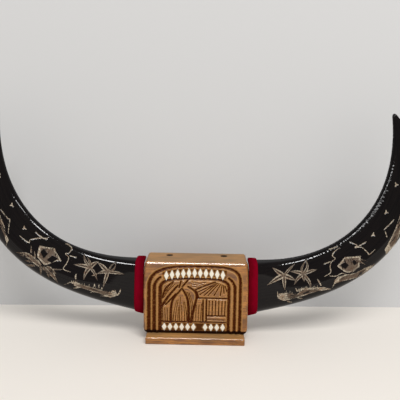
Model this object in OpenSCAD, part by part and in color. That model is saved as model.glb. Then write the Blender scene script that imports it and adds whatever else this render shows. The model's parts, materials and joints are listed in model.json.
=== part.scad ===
// Pair of polished buffalo horns on a carved wooden block and foot.
// The origin is the middle of the foot's underside. X runs along the pair of horns,
// Y from the carved front to the back, and Z up. All sizes are in millimetres.

/* [Foot] */
// Width of the foot, along the pair of horns
foot_w = 148; // [130:1:160]
// Depth of the foot, from front to back
foot_d = 93; // [84:1:120]
// Thickness of the foot
foot_t = 10.5; // [8:0.5:14]
// Rounding of the foot's edges
foot_round = 2; // [1:0.5:3]

/* [Block] */
// Width of the block, along the pair of horns
block_w = 157; // [154:1:170]
// How much narrower the block is at its top
block_taper = 4.8; // [0:0.2:8]
// Depth of the block, from front to back
block_d = 60; // [58:1:80]
// Height of the block above the foot
block_h = 111.5; // [109:0.5:125]
// Rounding of the block's edges
block_round = 4; // [2:0.5:5]

/* [Pen holes] */
// Diameter of the two blind holes in the block's top
pen_hole_d = 8; // [6:0.5:12]
// Depth of the holes
pen_hole_depth = 30; // [15:1:31]
// Distance of each hole from the middle of the block
pen_hole_x = 42; // [30:1:55]
// Distance of the holes behind the middle of the block
pen_hole_y = 12; // [8:1:18]

/* [Carving] */
// Height of the carving's lower edge above the foot
carving_z = 4.6; // [4:0.2:6]
// Depth of the gouged lines in the block's front
carve_depth = 2.2; // [1:0.1:4]
// Width of the arched lines
arch_line_w = 3.4; // [2:0.2:4.2]
// Number of lozenges in the upper band
upper_lozenges = 11; // [5:1:13]
// Number of lozenges in the lower band
lower_lozenges = 9; // [5:1:11]

/* [Horns] */
// Length of a horn along its middle line
horn_len = 412; // [380:1:460]
// Half the height of a horn where it meets the block
horn_half_h = 41.8; // [36:0.1:43]
// Depth of a horn at the block, as a share of its height
horn_depth_share = 0.55; // [0.5:0.01:0.6]
// Height of the horns' root above the table
horn_root_z = 76; // [73:0.1:78]
// Slope of a horn where it leaves the block, in degrees
horn_rise = 8.2; // [4:0.1:12]
// Turn of the left horn from its root to its tip, in degrees
left_curl = 102.5; // [90:0.5:120]
// Turn of the right horn from its root to its tip, in degrees
right_curl = 107; // [90:0.5:120]
// Distance of the tips behind the roots
horn_sweep = 20; // [0:1:28]
// Share of the horn's length that is hollow
hollow_share = 0.6; // [0.4:0.02:0.7]

/* [Collars] */
// Width of a velvet collar along the horn
collar_w = 14; // [12:0.5:18]
// Height of the collar's crown above the horn
collar_crown = 2.5; // [2.4:0.1:4]

/* [Joinery] */
// Diameter of the dowel that carries a horn
dowel_d = 25; // [18:0.5:28]
// Length of the dowel inside the block
dowel_in_block = 40; // [25:1:45]
// Length of the dowel inside the horn's wooden core
dowel_in_core = 44; // [25:1:50]
// Length of the wooden core inside the horn
core_len = 62; // [56:1:80]
// Diameter of the screws that hold the foot
screw_d = 4; // [3:0.5:5]
// Length of those screws
screw_len = 30; // [22:1:36]

/* [Hidden] */

// Play between pieces that are glued or driven together
glue_gap = 0.1;
core_gap = 0.25;
collar_gap = 0.35;
seat_gap = 0.05;

// Colours, as the pieces look
wood_colour = "#a8753f";
pale_wood_colour = "#c9a46c";
horn_colour = "#17161a";
velvet_colour = "#7a0718";
padding_colour = "#d8d2c4";
steel_colour = "#8d8f92";

block_top_z = foot_t + block_h;
root_x = block_w / 2 + seat_gap;
exact = 64;

// Rounded boxes

module rounded_square(w, h, r) {
    square([w - 2 * r, h], center = true);
    square([w, h - 2 * r], center = true);
    for (x = [-1, 1], y = [-1, 1])
        translate([x * (w / 2 - r), y * (h / 2 - r)]) circle(r, $fn = exact);
}

// A box whose edges are rounded in all three directions, standing on z = 0
module rounded_box(w, d, h, r) {
    translate([0, 0, h / 2]) intersection() {
        linear_extrude(h, center = true) rounded_square(w, d, r);
        rotate([90, 0, 0]) linear_extrude(d, center = true) rounded_square(w, h, r);
        rotate([90, 0, 90]) linear_extrude(w, center = true) rounded_square(d, h, r);
    }
}

// Foot: a flat board, screwed to the block from below with four countersunk screws

screw_head_r = screw_d * 0.95;
screw_head_h = screw_d * 0.7;
screw_recess = 0.6;
screw_x = block_w * 0.33;
screw_y = block_d * 0.28;
screw_point = 5;

module at_screws() {
    for (x = [-1, 1], y = [-1, 1]) translate([x * screw_x, y * screw_y, screw_recess]) children();
}

// The room that a screw takes up, with play all round it
module screw_room(play) {
    translate([0, 0, -screw_recess - 1])
        cylinder(h = 1 + screw_recess, r = screw_head_r + play, $fn = exact);
    cylinder(h = screw_head_h + play, r1 = screw_head_r + play, r2 = screw_d / 2 + play, $fn = exact);
    cylinder(h = screw_len + play, r = screw_d / 2 + play, $fn = exact);
}

module foot() {
    color(wood_colour) difference() {
        rounded_box(foot_w, foot_d, foot_t, foot_round);
        at_screws() screw_room(glue_gap);
    }
}

module wood_screw() {
    slot_w = 1;
    difference() {
        union() {
            cylinder(h = screw_head_h, r1 = screw_head_r, r2 = screw_d / 2, $fn = exact);
            cylinder(h = screw_len - screw_point, r = screw_d / 2, $fn = exact);
            translate([0, 0, screw_len - screw_point])
                cylinder(h = screw_point, r1 = screw_d / 2, r2 = 0.3, $fn = exact);
        }
        translate([-screw_d, -slot_w / 2, -1]) cube([2 * screw_d, slot_w, 2]);
    }
}

module foot_screws() {
    color(steel_colour) at_screws() wood_screw();
}

// Block: the carved middle piece, drilled at both ends for the dowels and on top for two pens

// Outline of the block from the front. Its upper half narrows a little towards the top.
shoulder_start = 0.52;
outline_steps = 10;

function block_half_w(z) =
    let (up = max(0, z / block_h - shoulder_start) / (1 - shoulder_start))
    (block_w - block_taper * up * up) / 2;

function corner_arc(x, z, start) =
    [for (k = [0 : 6]) [x, z] + block_round * [cos(start + 15 * k), sin(start + 15 * k)]];

block_side = concat(
    corner_arc(block_w / 2 - block_round, block_round, -90),
    [for (k = [1 : outline_steps - 1])
        let (z = block_round + (block_h - 2 * block_round) * k / outline_steps)
        [block_half_w(z), z]],
    corner_arc(block_half_w(block_h - block_round) - block_round, block_h - block_round, 0)
);

module block_outline() {
    left_side = [for (k = [len(block_side) - 1 : -1 : 0]) [-block_side[k][0], block_side[k][1]]];
    polygon(concat(block_side, left_side));
}

module block_body() {
    intersection() {
        linear_extrude(block_h) rounded_square(block_w, block_d, block_round);
        rotate([90, 0, 0]) linear_extrude(block_d, center = true) block_outline();
        rotate([90, 0, 90]) linear_extrude(block_w, center = true)
            translate([0, block_h / 2]) rounded_square(block_d, block_h, block_round);
    }
}

// Lines of the carving, in the plane of the block's front: x from the middle, y up from the
// carving's lower edge. The arch leg is upright up to its spring line and then bends over.
arch_half_w = [70.5, 62, 53.5];
arch_spring = [62, 62, 58];
arch_top = [103, 94, 82];
arch_power = 0.85;
upper_band_half_w = 44;
upper_band_y = 89.5;
upper_band_h = 12;
upper_band_sag = 3;
lower_band_y = 8;
lower_band_h = 11;
ground_y = 15.5;
ground_line_w = 1.6;

function bow(c) = sign(c) * pow(abs(c), arch_power);

function arch_outline(half_w, spring, top) = concat(
    [[-half_w, -1], [half_w, -1]],
    [for (a = [0 : 6 : 180]) [half_w * bow(cos(a)), spring + (top - spring) * bow(sin(a))]]
);

module arch_line(i, line_w) {
    difference() {
        polygon(arch_outline(arch_half_w[i], arch_spring[i], arch_top[i]));
        polygon(arch_outline(arch_half_w[i] - line_w, arch_spring[i], arch_top[i] - line_w));
    }
}

// One straight gouge cut from p to q, tapering from width w1 to width w2
module cut(p, q, w1, w2) {
    side = [q[1] - p[1], p[0] - q[0]] / norm(q - p) / 2;
    polygon([p - side * w1, p + side * w1, q + side * w2, q - side * w2]);
}

module lozenge(w, h) {
    polygon([[-w / 2, 0], [0, -h / 2], [w / 2, 0], [0, h / 2]]);
}

// A band of lozenges left standing in a sunk ground. It bends down at its ends by the given sag.
module lozenge_band(count, half_w, mid_y, h, sag) {
    pitch = 2 * half_w / count;
    function drop(x) = sag * pow(x / half_w, 2);
    difference() {
        polygon(concat(
            [for (k = [-8 : 8]) [k * half_w / 8, mid_y - h / 2 - drop(k * half_w / 8)]],
            [for (k = [8 : -1 : -8]) [k * half_w / 8, mid_y + h / 2 - drop(k * half_w / 8)]]
        ));
        for (k = [0 : count - 1]) {
            x = (k + 0.5) * pitch - half_w;
            translate([x, mid_y - drop(x)]) lozenge(pitch * 0.84, h * 0.8);
        }
    }
}

// Thatched house on the right: eaves, rafters fanning from the ridge, posts and a slatted wall
house_ridge = [31, 76];
house_eaves_y = 51;
house_eaves_x = [2, 49];
house_rafters = 7;
house_wall_x = [13, 45];
house_wall_y = [23, 46];
house_slats = 7;

module house_lines() {
    cut([house_eaves_x[0], house_eaves_y], [house_eaves_x[1], house_eaves_y], 1.8, 1.8);
    for (k = [0 : house_rafters - 1]) {
        foot_x = house_eaves_x[0] + (house_eaves_x[1] - house_eaves_x[0]) * k / (house_rafters - 1);
        cut(house_ridge + [(foot_x - house_ridge[0]) * 0.08, -3], [foot_x, house_eaves_y + 3], 1, 1.8);
    }
    for (k = [0 : house_slats]) {
        x = house_wall_x[0] + (house_wall_x[1] - house_wall_x[0]) * k / house_slats;
        cut([x, house_wall_y[0]], [x, house_wall_y[1]], 1.6, 1.6);
    }
    cut([house_wall_x[0], house_wall_y[0] - 3], [house_wall_x[1], house_wall_y[0] - 3], 1.4, 1.4);
}

// Steep thatched gable on the left: crossed rafters, two bowed slopes and straws hanging from the peak
gable_peak = [-20, 66];
gable_half_w = 15;
gable_bow = 5;
gable_steps = 5;
gable_straws = 4;

function gable_side(s, t) = [
    gable_peak[0] + s * (gable_half_w * t + gable_bow * sin(180 * t)),
    gable_peak[1] - (gable_peak[1] - ground_y - 1) * t
];

module gable_lines() {
    for (s = [-1, 1]) {
        for (k = [0 : gable_steps - 1])
            cut(gable_side(s, k / gable_steps), gable_side(s, (k + 1.05) / gable_steps), 2.2, 2.2);
        cut(gable_peak, gable_peak + [s * 4, 8], 1.6, 1);
        cut(gable_peak + [s * 7, -4], gable_peak + [s * 27, -32], 1.6, 2);
        for (k = [1 : gable_straws])
            cut(gable_side(s, 0.35) + [-s * k * 2, 0], gable_side(s, 0.9) + [-s * k * 4, 0], 0.6, 1.4);
    }
}

module carving_lines() {
    arch_line(0, arch_line_w);
    difference() {
        arch_line(1, arch_line_w);
        translate([-upper_band_half_w, arch_spring[1] + 14]) square([2 * upper_band_half_w, 40]);
    }
    arch_line(2, arch_line_w);
    inset = arch_line_w + 0.8;
    lozenge_band(upper_lozenges, upper_band_half_w, upper_band_y, upper_band_h, upper_band_sag);
    lozenge_band(lower_lozenges, arch_half_w[2] - inset, lower_band_y, lower_band_h, 0);
    intersection() {
        polygon(arch_outline(arch_half_w[2] - inset, arch_spring[2], arch_top[2] - inset));
        union() {
            cut([-60, ground_y], [60, ground_y], ground_line_w, ground_line_w);
            house_lines();
            gable_lines();
        }
    }
}

module dowel_bore() {
    translate([block_w / 2 - dowel_in_block - 1, 0, horn_root_z])
        rotate([0, 90, 0]) cylinder(h = dowel_in_block + 2, d = dowel_d + 2 * glue_gap, $fn = exact);
}

module block() {
    color(wood_colour) difference() {
        translate([0, 0, foot_t]) block_body();
        translate([0, -block_d / 2 + carve_depth, foot_t + carving_z])
            rotate([90, 0, 0]) linear_extrude(carve_depth + 1) carving_lines();
        for (s = [0, 1]) mirror([s, 0, 0]) dowel_bore();
        for (s = [-1, 1]) translate([s * pen_hole_x, pen_hole_y, block_top_z - pen_hole_depth])
            cylinder(h = pen_hole_depth + 1, d = pen_hole_d, $fn = exact);
        at_screws() screw_room(glue_gap);
    }
}

// Horn: a tapering shell swept along a curve that bends ever more upwards.
// t runs from 0 at the root to 1 at the tip.

horn_rings = 48;
horn_sides = 32;
hollow_rings = 14;
curve_steps = 32;
square_cut_share = 0.15;
tip_share = 0.06;
tip_round = 1.5;
root_wall_share = 0.12;

// Direction of the middle line. No two horns curl alike, so each side has its own curl.
function horn_heading(t, curl) = horn_rise + curl * t * t * (1.93 - 0.93 * t);

function smooth(x) = x < 0 ? 0 : x > 1 ? 1 : x * x * (3 - 2 * x);

// The root is cut square, to stand on the block's upright end
function section_tilt(t, curl) = horn_heading(t, curl) * smooth(t / square_cut_share);

function horn_middle(t, curl) =
    let (ones = [for (i = [1 : curve_steps]) 1],
         headings = [for (i = [1 : curve_steps]) horn_heading(t * (i - 0.5) / curve_steps, curl)],
         run = horn_len * t / curve_steps * (ones * [for (h = headings) [cos(h), sin(h)]]))
    [root_x + run[0], horn_sweep * t * t, horn_root_z + run[1]];

// Half the height: flared at the root, almost even along the body, and tapering to a blunt tip
function horn_half_height(t) =
    let (tip_left = min(1, (1 - t) * horn_len / (horn_half_h * tip_share * tip_round)),
         blunt = sqrt(max(0, 1 - pow(1 - tip_left, 2))))
    horn_half_h * (1 - 1.406 * t + 3.1 * t * t - (2.694 - tip_share) * t * t * t) * blunt;

function horn_half_depth(t) =
    horn_half_height(t) * (horn_depth_share + (0.95 - horn_depth_share) * t * t * t);

// One point of a cross-section. The inner side is flat with tight corners. It is as wide as the outer
// side at the root and narrows along the body. The outer side is round, and the tip is a plain oval.
function section_point(t, share, grow, angle, curl) =
    let (power = cos(angle) > 0 ? 0.4 + 0.6 * t * t * t : 0.86 + 0.14 * t,
         keystone = (1 - t) * (0.02 - 2.36 * t),
         u = sign(cos(angle)) * pow(abs(cos(angle)), power),
         w = sign(sin(angle)) * pow(abs(sin(angle)), power) * (1 + keystone * u),
         up = u * (horn_half_height(t) * share + grow),
         back = w * (horn_half_depth(t) * share + grow),
         tilt = section_tilt(t, curl))
    horn_middle(t, curl) + [-sin(tilt) * up, back, cos(tilt) * up];

function section_ring(t, share, grow, curl) =
    [for (j = [0 : horn_sides - 1]) section_point(t, share, grow, 360 * j / horn_sides, curl)];

// The hollow is closed towards the tip. Its wall is thinnest at the root.
function hollow_scale(t) = (1 - root_wall_share) * (1 - pow(t / hollow_share, 3));

function hollow_ring(t, grow, curl) = section_ring(t, hollow_scale(t), grow, curl);

// Triangles between ring i and the next of a stack of rings, and fans that close its ends
function wall_faces(i, next) = [
    for (j = [0 : horn_sides - 1])
        let (k = (j + 1) % horn_sides, a = i * horn_sides, b = next * horn_sides)
        each [[a + j, b + j, b + k], [a + j, b + k, a + k]]
];

function fan_faces(i, flip) = [
    for (j = [1 : horn_sides - 2])
        let (a = i * horn_sides)
        flip ? [a, a + j, a + j + 1] : [a, a + j + 1, a + j]
];

// A closed solid through a stack of rings
module ring_stack(rings) {
    last = len(rings) - 1;
    polyhedron(
        points = [for (ring = rings) each ring],
        faces = concat(
            [for (i = [0 : last - 1]) each wall_faces(i, i + 1)],
            fan_faces(0, true),
            fan_faces(last, false)
        )
    );
}

// A closed tube through a loop of rings, such as a collar's outline carried round the horn
module ring_loop(rings) {
    polyhedron(
        points = [for (ring = rings) each ring],
        faces = [for (i = [0 : len(rings) - 1]) each wall_faces(i, (i + 1) % len(rings))]
    );
}

outer_t = [for (i = [0 : horn_rings - 1]) sin(90 * i / horn_rings)];
hollow_t = [for (i = [0 : hollow_rings]) hollow_share * 0.97 * i / hollow_rings];
tip_t = 0.9997;

nail_r = 0.8;
nail_len = 16;
nail_head_r = 1.7;
nail_head_h = 0.8;
nail_sunk = 0.3;
nail_play = 0.03;
nail_mouth = 3;
nail_t = collar_w / 2 / horn_len;

// Four nails through the horn's rim into its core: above, below, in front and behind
module at_nails(curl) {
    for (angle = [0 : 90 : 270]) {
        spot = section_point(nail_t, 1, -nail_sunk, angle, curl);
        translate(spot) rotate([-angle, 0, 0]) mirror([0, 0, 1]) children();
    }
}

module nail(play) {
    translate([0, 0, -play]) cylinder(h = nail_head_h + play, r = nail_head_r + play, $fn = exact);
    cylinder(h = nail_len + play, r = nail_r + play, $fn = exact);
}

// The hole that a nail is driven into, open above its sunk head
module nail_room() {
    nail(nail_play);
    translate([0, 0, -nail_mouth])
        cylinder(h = nail_mouth + nail_head_h, r = nail_head_r + nail_play, $fn = exact);
}

module horn(curl) {
    color(horn_colour) difference() {
        ring_stack(concat(
            [for (i = [hollow_rings : -1 : 0]) hollow_ring(hollow_t[i], 0, curl)],
            [for (t = outer_t) section_ring(t, 1, 0, curl)],
            [section_ring(tip_t, 1, 0, curl)]
        ));
        at_nails(curl) nail_room();
    }
}

module horn_nails(curl) {
    color(steel_colour) at_nails(curl) nail(0);
}

// Core: a block of pale wood shaped to fill the root of the horn, with a dowel glued into it

core_rings = 8;

module core(curl) {
    color(pale_wood_colour) difference() {
        ring_stack([for (i = [0 : core_rings])
            hollow_ring((seat_gap + core_len * i / core_rings) / horn_len, -core_gap, curl)]);
        translate([root_x - 1, 0, horn_root_z])
            rotate([0, 90, 0]) cylinder(h = dowel_in_core + 2, d = dowel_d + 2 * glue_gap, $fn = exact);
        at_nails(curl) nail(nail_play);
    }
}

module dowel() {
    chamfer = 1.5;
    length = dowel_in_block + dowel_in_core;
    color(pale_wood_colour) translate([block_w / 2 - dowel_in_block, 0, horn_root_z])
        rotate([0, 90, 0]) rotate_extrude($fn = exact) polygon([
            [0, 0], [dowel_d / 2 - chamfer, 0], [dowel_d / 2, chamfer],
            [dowel_d / 2, length - chamfer], [dowel_d / 2 - chamfer, length], [0, length]
        ]);
}

// Collar: a strip of wadding round the joint, with velvet folded over it and tucked in at both edges.
// Each outline is a list of [place along the horn, height above the horn].

velvet_t = 0.8;

padding_outline = [
    [velvet_t + 0.15, collar_gap],
    [velvet_t + 0.15, collar_crown - velvet_t - 0.6],
    [collar_w / 2, collar_crown - velvet_t - 0.2],
    [collar_w - velvet_t - 0.15, collar_crown - velvet_t - 0.6],
    [collar_w - velvet_t - 0.15, collar_gap]
];

velvet_outline = [
    [0, collar_gap],
    [0, collar_crown - 1.5],
    [0.9, collar_crown - 0.6],
    [collar_w * 0.28, collar_crown - 0.15],
    [collar_w / 2, collar_crown],
    [collar_w * 0.72, collar_crown - 0.15],
    [collar_w - 0.9, collar_crown - 0.6],
    [collar_w, collar_crown - 1.5],
    [collar_w, collar_gap],
    [collar_w - velvet_t, collar_gap],
    [collar_w - velvet_t, collar_crown - velvet_t - 0.5],
    [collar_w / 2, collar_crown - velvet_t - 0.1],
    [velvet_t, collar_crown - velvet_t - 0.5],
    [velvet_t, collar_gap]
];

module round_the_horn(outline, curl) {
    ring_loop([for (p = outline) section_ring((seat_gap + p[0]) / horn_len, 1, p[1], curl)]);
}

module collar_padding(curl) {
    color(padding_colour) round_the_horn(padding_outline, curl);
}

module collar_velvet(curl) {
    color(velvet_colour) round_the_horn(velvet_outline, curl);
}

// Each side is modelled to the right, and the left one is turned over

module left() {
    mirror([1, 0, 0]) children();
}

foot();
foot_screws();
block();
left() dowel();  // left_dowel
dowel();  // right_dowel
left() core(left_curl);  // left_core
core(right_curl);  // right_core
left() horn(left_curl);  // left_horn
horn(right_curl);  // right_horn
left() horn_nails(left_curl);  // left_horn_nails
horn_nails(right_curl);  // right_horn_nails
left() collar_padding(left_curl);  // left_collar_padding
collar_padding(right_curl);  // right_collar_padding
left() collar_velvet(left_curl);  // left_collar_velvet
collar_velvet(right_curl);  // right_collar_velvet
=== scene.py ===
import json
import math
import random

import bmesh
import bpy
import numpy as np
from mathutils import Matrix, Vector


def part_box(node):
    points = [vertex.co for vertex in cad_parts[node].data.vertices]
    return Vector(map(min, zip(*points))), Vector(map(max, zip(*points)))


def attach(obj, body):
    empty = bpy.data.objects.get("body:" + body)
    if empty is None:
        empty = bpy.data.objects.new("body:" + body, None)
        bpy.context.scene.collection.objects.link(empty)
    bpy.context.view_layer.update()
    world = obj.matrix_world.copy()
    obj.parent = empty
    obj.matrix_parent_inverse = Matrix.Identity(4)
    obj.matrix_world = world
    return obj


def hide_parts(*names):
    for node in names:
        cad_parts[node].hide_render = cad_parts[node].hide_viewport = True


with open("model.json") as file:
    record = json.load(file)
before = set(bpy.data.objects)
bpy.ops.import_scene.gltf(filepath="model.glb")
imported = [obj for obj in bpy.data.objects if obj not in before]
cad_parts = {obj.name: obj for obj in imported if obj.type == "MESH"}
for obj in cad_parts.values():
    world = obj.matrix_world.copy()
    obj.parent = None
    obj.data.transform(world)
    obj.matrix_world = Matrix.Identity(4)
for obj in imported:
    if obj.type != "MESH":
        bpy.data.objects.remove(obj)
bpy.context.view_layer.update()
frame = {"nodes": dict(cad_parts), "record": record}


# Foot: a flat board of tropical hardwood, planed, with eased edges, stained brown and lacquered.
# The block stands on it, and four screws from below hold the two together.

mm = 0.001


def linear(hex_colour):
    """The linear colour of an sRGB hex value such as #a06f38."""
    shares = [int(hex_colour[k:k + 2], 16) / 255 for k in (1, 3, 5)]
    return [s / 12.92 if s <= 0.04045 else ((s + 0.055) / 1.055) ** 2.4 for s in shares] + [1.0]


def add(tree, kind, inputs={}, **settings):
    """Adds a node with its settings. An input that is a node or a node's output is linked to it."""
    node = tree.nodes.new(kind)
    for name, value in settings.items():
        setattr(node, name, value)
    for socket, value in inputs.items():
        if isinstance(value, bpy.types.Node):
            value = value.outputs[0]
        if isinstance(value, bpy.types.NodeSocket):
            tree.links.new(value, node.inputs[socket])
        else:
            node.inputs[socket].default_value = value
    return node


def new_material(name):
    """An empty material and its node tree."""
    material = bpy.data.materials.new(name)
    material.use_nodes = True
    material.node_tree.nodes.clear()
    return material, material.node_tree


def dress_node(name, material):
    """Gives a piece that is right as it was constructed its finish."""
    mesh = frame["nodes"][name].data
    mesh.materials.clear()
    mesh.materials.append(material)


# Stained hardwood under satin lacquer: warm brown with fine grain along the board and cloudy patches of
# stain, and a soft shine on rounded edges. Carved cuts drink the stain unevenly and turn almost black
# brown, and the lips beside them carry a painted highlight. Faces that look up are painted paler, as
# painted light from above.
stained_hardwood, wood = new_material("stained_hardwood")
grain_along, grain_across = 38 * mm, 1.5 * mm
pore_along, pore_across = 7 * mm, 0.6 * mm
cloud_along, cloud_across = 40 * mm, 16 * mm
soak_along, soak_across = 5 * mm, 2 * mm
wood_coordinates = add(wood, "ShaderNodeTexCoord").outputs
place = wood_coordinates["Object"]
facing_up = add(wood, "ShaderNodeSeparateXYZ", {"Vector": wood_coordinates["Normal"]}).outputs["Z"]
layers = []
for along, across, detail in (
    (grain_along, grain_across, 3), (pore_along, pore_across, 1), (cloud_along, cloud_across, 2),
    (soak_along, soak_across, 2),
):
    stretched = add(wood, "ShaderNodeMapping", {
        "Vector": place, "Scale": (1 / along, 1 / across, 1 / across)})
    layers.append(add(wood, "ShaderNodeTexNoise", {
        "Vector": stretched, "Scale": 1, "Detail": detail, "Distortion": 0.3}))
grain, pores, clouds, soaking = layers
carved, painted, sunk = (
    add(wood, "ShaderNodeAttribute", attribute_name=mark).outputs["Fac"]
    for mark in ("carved", "painted", "sunk"))
soaked = add(wood, "ShaderNodeMapRange", {
    "Value": soaking, "From Min": 0.35, "From Max": 0.65, "To Min": 0.76, "To Max": 1.25})
stained = add(wood, "ShaderNodeMath", {0: carved, 1: soaked}, operation="MULTIPLY")
colour = linear("#b5762c")
for share, low, high, other in (
    (clouds, 0.42, 0.66, "#75490f"),
    (grain, 0.45, 0.64, "#643609"),
    (pores, 0.55, 0.75, "#55300c"),
    # Painted light: faces that look up are painted paler, as if lit from above.
    (facing_up, 0.6, 1.9, "#dcaf74"),
    (sunk, 0.45, 0.95, "#4a270a"),
    # Painted highlight: the lips beside each cut are painted paler, where carved ridges would catch the
    # light.
    (stained, 0.02, 0.2, "#a97a43"),
    (stained, 0.3, 0.85, "#451a01"),
    # Painted shade: values above 1, set in the joint above the foot and in the pen bores, turn near black.
    (carved, 1.0, 1.5, "#0e0502"),
    (painted, 0.35, 0.6, "#e9e1d0"),
):
    amount = add(wood, "ShaderNodeMapRange", {"Value": share, "From Min": low, "From Max": high})
    colour = add(wood, "ShaderNodeMix", {
        0: amount, 6: colour, 7: linear(other)}, data_type="RGBA").outputs[2]
wood_bump = add(wood, "ShaderNodeBump", {"Strength": 0.25, "Distance": 0.15 * mm, "Height": pores})
wood_shine = add(wood, "ShaderNodeMapRange", {"Value": grain, "To Min": 0.45, "To Max": 0.6})
cut_open = add(wood, "ShaderNodeMath", {0: carved, 1: sunk}, operation="MAXIMUM")
lacquer = add(wood, "ShaderNodeMapRange", {
    "Value": cut_open, "From Min": 0.05, "From Max": 0.45, "To Min": 1.0, "To Max": 0.0})
wood_surface = add(wood, "ShaderNodeBsdfPrincipled", {
    "Base Color": colour, "Roughness": wood_shine, "Normal": wood_bump,
    "Specular IOR Level": 0.05, "Coat Weight": lacquer, "Coat Roughness": 0.42, "Coat IOR": 1.6})
add(wood, "ShaderNodeOutputMaterial", {"Surface": wood_surface})

dress_node("foot", stained_hardwood)


# Foot screws: four countersunk wood screws, turned from steel wire and left bright. They are driven from
# below, through the foot into the block.

# Plain wire steel, drawn and turned: grey with fine circular tool marks that blur its shine.
wire_steel, steel = new_material("wire_steel")
tool_mark = 0.4 * mm
steel_place = add(steel, "ShaderNodeTexCoord").outputs["Object"]
steel_marks = add(steel, "ShaderNodeTexNoise", {"Vector": steel_place, "Scale": 1 / tool_mark, "Detail": 2})
steel_shine = add(steel, "ShaderNodeMapRange", {"Value": steel_marks, "To Min": 0.25, "To Max": 0.5})
steel_tone = add(steel, "ShaderNodeMix", {
    0: steel_marks, 6: linear("#8d8f92"), 7: linear("#b4b6b8")}, data_type="RGBA")
steel_surface = add(steel, "ShaderNodeBsdfPrincipled", {
    "Base Color": steel_tone.outputs[2], "Metallic": 1.0, "Roughness": steel_shine})
add(steel, "ShaderNodeOutputMaterial", {"Surface": steel_surface})

dress_node("foot_screws", wire_steel)


# Block: the middle piece, sawn from one length of hardwood, its edges rounded with a rasp. Its front is
# carved with gouges: nested arches round a scene of thatched houses, and two bands of ivory lozenges.
# It is drilled at both ends for the dowels, on top for two pens and below for the screws.

block_low, block_high = (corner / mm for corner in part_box("block"))
scene = bpy.context.scene
block_edge = 4.0
block_edge_points = 6
block_lean = 4.8
lean_start = 0.52
rasped_height, rasped_width = 11.0, 5.0
carve_step = 0.6
top_steps, back_steps, underside_steps = 14, 14, 8


def block_outline(shrink):
    """The block's side view as (y, z), drawn in by shrink. It climbs the front in fine steps."""
    y_low, z_low = block_low.y + block_edge, block_low.z + block_edge
    y_high, z_high = block_high.y - block_edge, block_high.z - block_edge
    front_steps = round((z_high - z_low) / carve_step)
    radius = block_edge - shrink
    arcs, side_steps = [], []
    for y, z, start, steps in (
        (y_low, z_low, 270, front_steps), (y_low, z_high, 180, top_steps),
        (y_high, z_high, 90, back_steps), (y_high, z_low, 0, underside_steps),
    ):
        turns = np.radians(np.linspace(start, start - 90, block_edge_points))
        arcs.append(np.c_[y + radius * np.cos(turns), z + radius * np.sin(turns)])
        side_steps.append(steps)
    outline = []
    for k, steps in enumerate(side_steps):
        side = np.linspace(arcs[k][-1], arcs[(k + 1) % len(arcs)][0], steps + 1)[1:-1]
        outline += [arcs[k], side]
    return np.vstack(outline)


def width_share(z):
    """The block's width at a height as a share of its full width. Its ends lean in towards the top,
    and their lowest stretch is rasped round."""
    up = np.maximum(0, (z - block_low.z) / (block_high.z - block_low.z) - lean_start) / (1 - lean_start)
    down = np.clip(1 - (z - block_low.z) / rasped_height, 0, 1)
    drawn_in = block_lean * up ** 2 + 2 * rasped_width * (1 - np.sqrt(1 - down ** 2))
    return 1 - drawn_in / (block_high.x - block_low.x)


def mesh_piece(name, points, faces):
    """A new object in the scene, from its points and faces."""
    mesh = bpy.data.meshes.new(name)
    mesh.from_pydata(points, [], faces)
    piece = bpy.data.objects.new(name, mesh)
    scene.collection.objects.link(piece)
    return piece


def turn_out(piece, merge=0):
    """Merges points that are closer than merge and turns all faces of a closed piece outwards."""
    work = bmesh.new()
    work.from_mesh(piece.data)
    if merge:
        bmesh.ops.remove_doubles(work, verts=work.verts, dist=merge)
    bmesh.ops.recalc_face_normals(work, faces=work.faces)
    work.to_mesh(piece.data)
    work.free()


def settle(piece):
    """Makes what the piece's modifiers give its own plain mesh."""
    graph = bpy.context.evaluated_depsgraph_get()
    made = bpy.data.meshes.new_from_object(
        piece.evaluated_get(graph), preserve_all_data_layers=True, depsgraph=graph)
    piece.modifiers.clear()
    piece.data = made


drill_sides = 48


def drill(piece, holes):
    """Cuts round holes. Each is (mouth, direction inwards, radius at the mouth, at the bottom, depth)."""
    work = bmesh.new()
    for mouth, inwards, wide, narrow, depth in holes:
        inwards = Vector(inwards)
        turn = inwards.to_track_quat("Z", "Y").to_matrix().to_4x4()
        middle = Vector(mouth) + inwards * depth / 2
        bmesh.ops.create_cone(
            work, cap_ends=True, segments=drill_sides, radius1=wide * mm, radius2=narrow * mm,
            depth=depth * mm, matrix=Matrix.Translation(middle * mm) @ turn)
    cutter = mesh_piece("drill", [], [])
    work.to_mesh(cutter.data)
    work.free()
    cut = piece.modifiers.new("drill", "BOOLEAN")
    cut.operation, cut.solver, cut.object = "DIFFERENCE", "MANIFOLD", cutter
    settle(piece)
    bpy.data.objects.remove(cutter)


rounding = [
    (block_low.x + block_edge * (1 - math.sin(turn)), block_edge * (1 - math.cos(turn)))
    for turn in np.radians(np.linspace(90, 0, block_edge_points))
]
straight = np.arange(block_low.x + block_edge, block_high.x - block_edge, carve_step)[1:]
stations = rounding + [(x, 0) for x in straight] + [(-x, shrink) for x, shrink in reversed(rounding)]
rings = []
for x, shrink in stations:
    ring = block_outline(shrink)
    rings.append(np.c_[np.full(len(ring), x), ring])
count = len(rings[0])
block_faces = [
    (i * count + j, i * count + (j + 1) % count, (i + 1) * count + (j + 1) % count, (i + 1) * count + j)
    for i in range(len(rings) - 1) for j in range(count)
]
block_faces += [tuple(range(count)), tuple(range((len(rings) - 1) * count, len(rings) * count))]
block_points = np.vstack(rings)
block_points[:, 0] *= width_share(block_points[:, 2])
block = mesh_piece("block_carved", block_points * mm, block_faces)
turn_out(block, merge=0.001 * mm)

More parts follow.
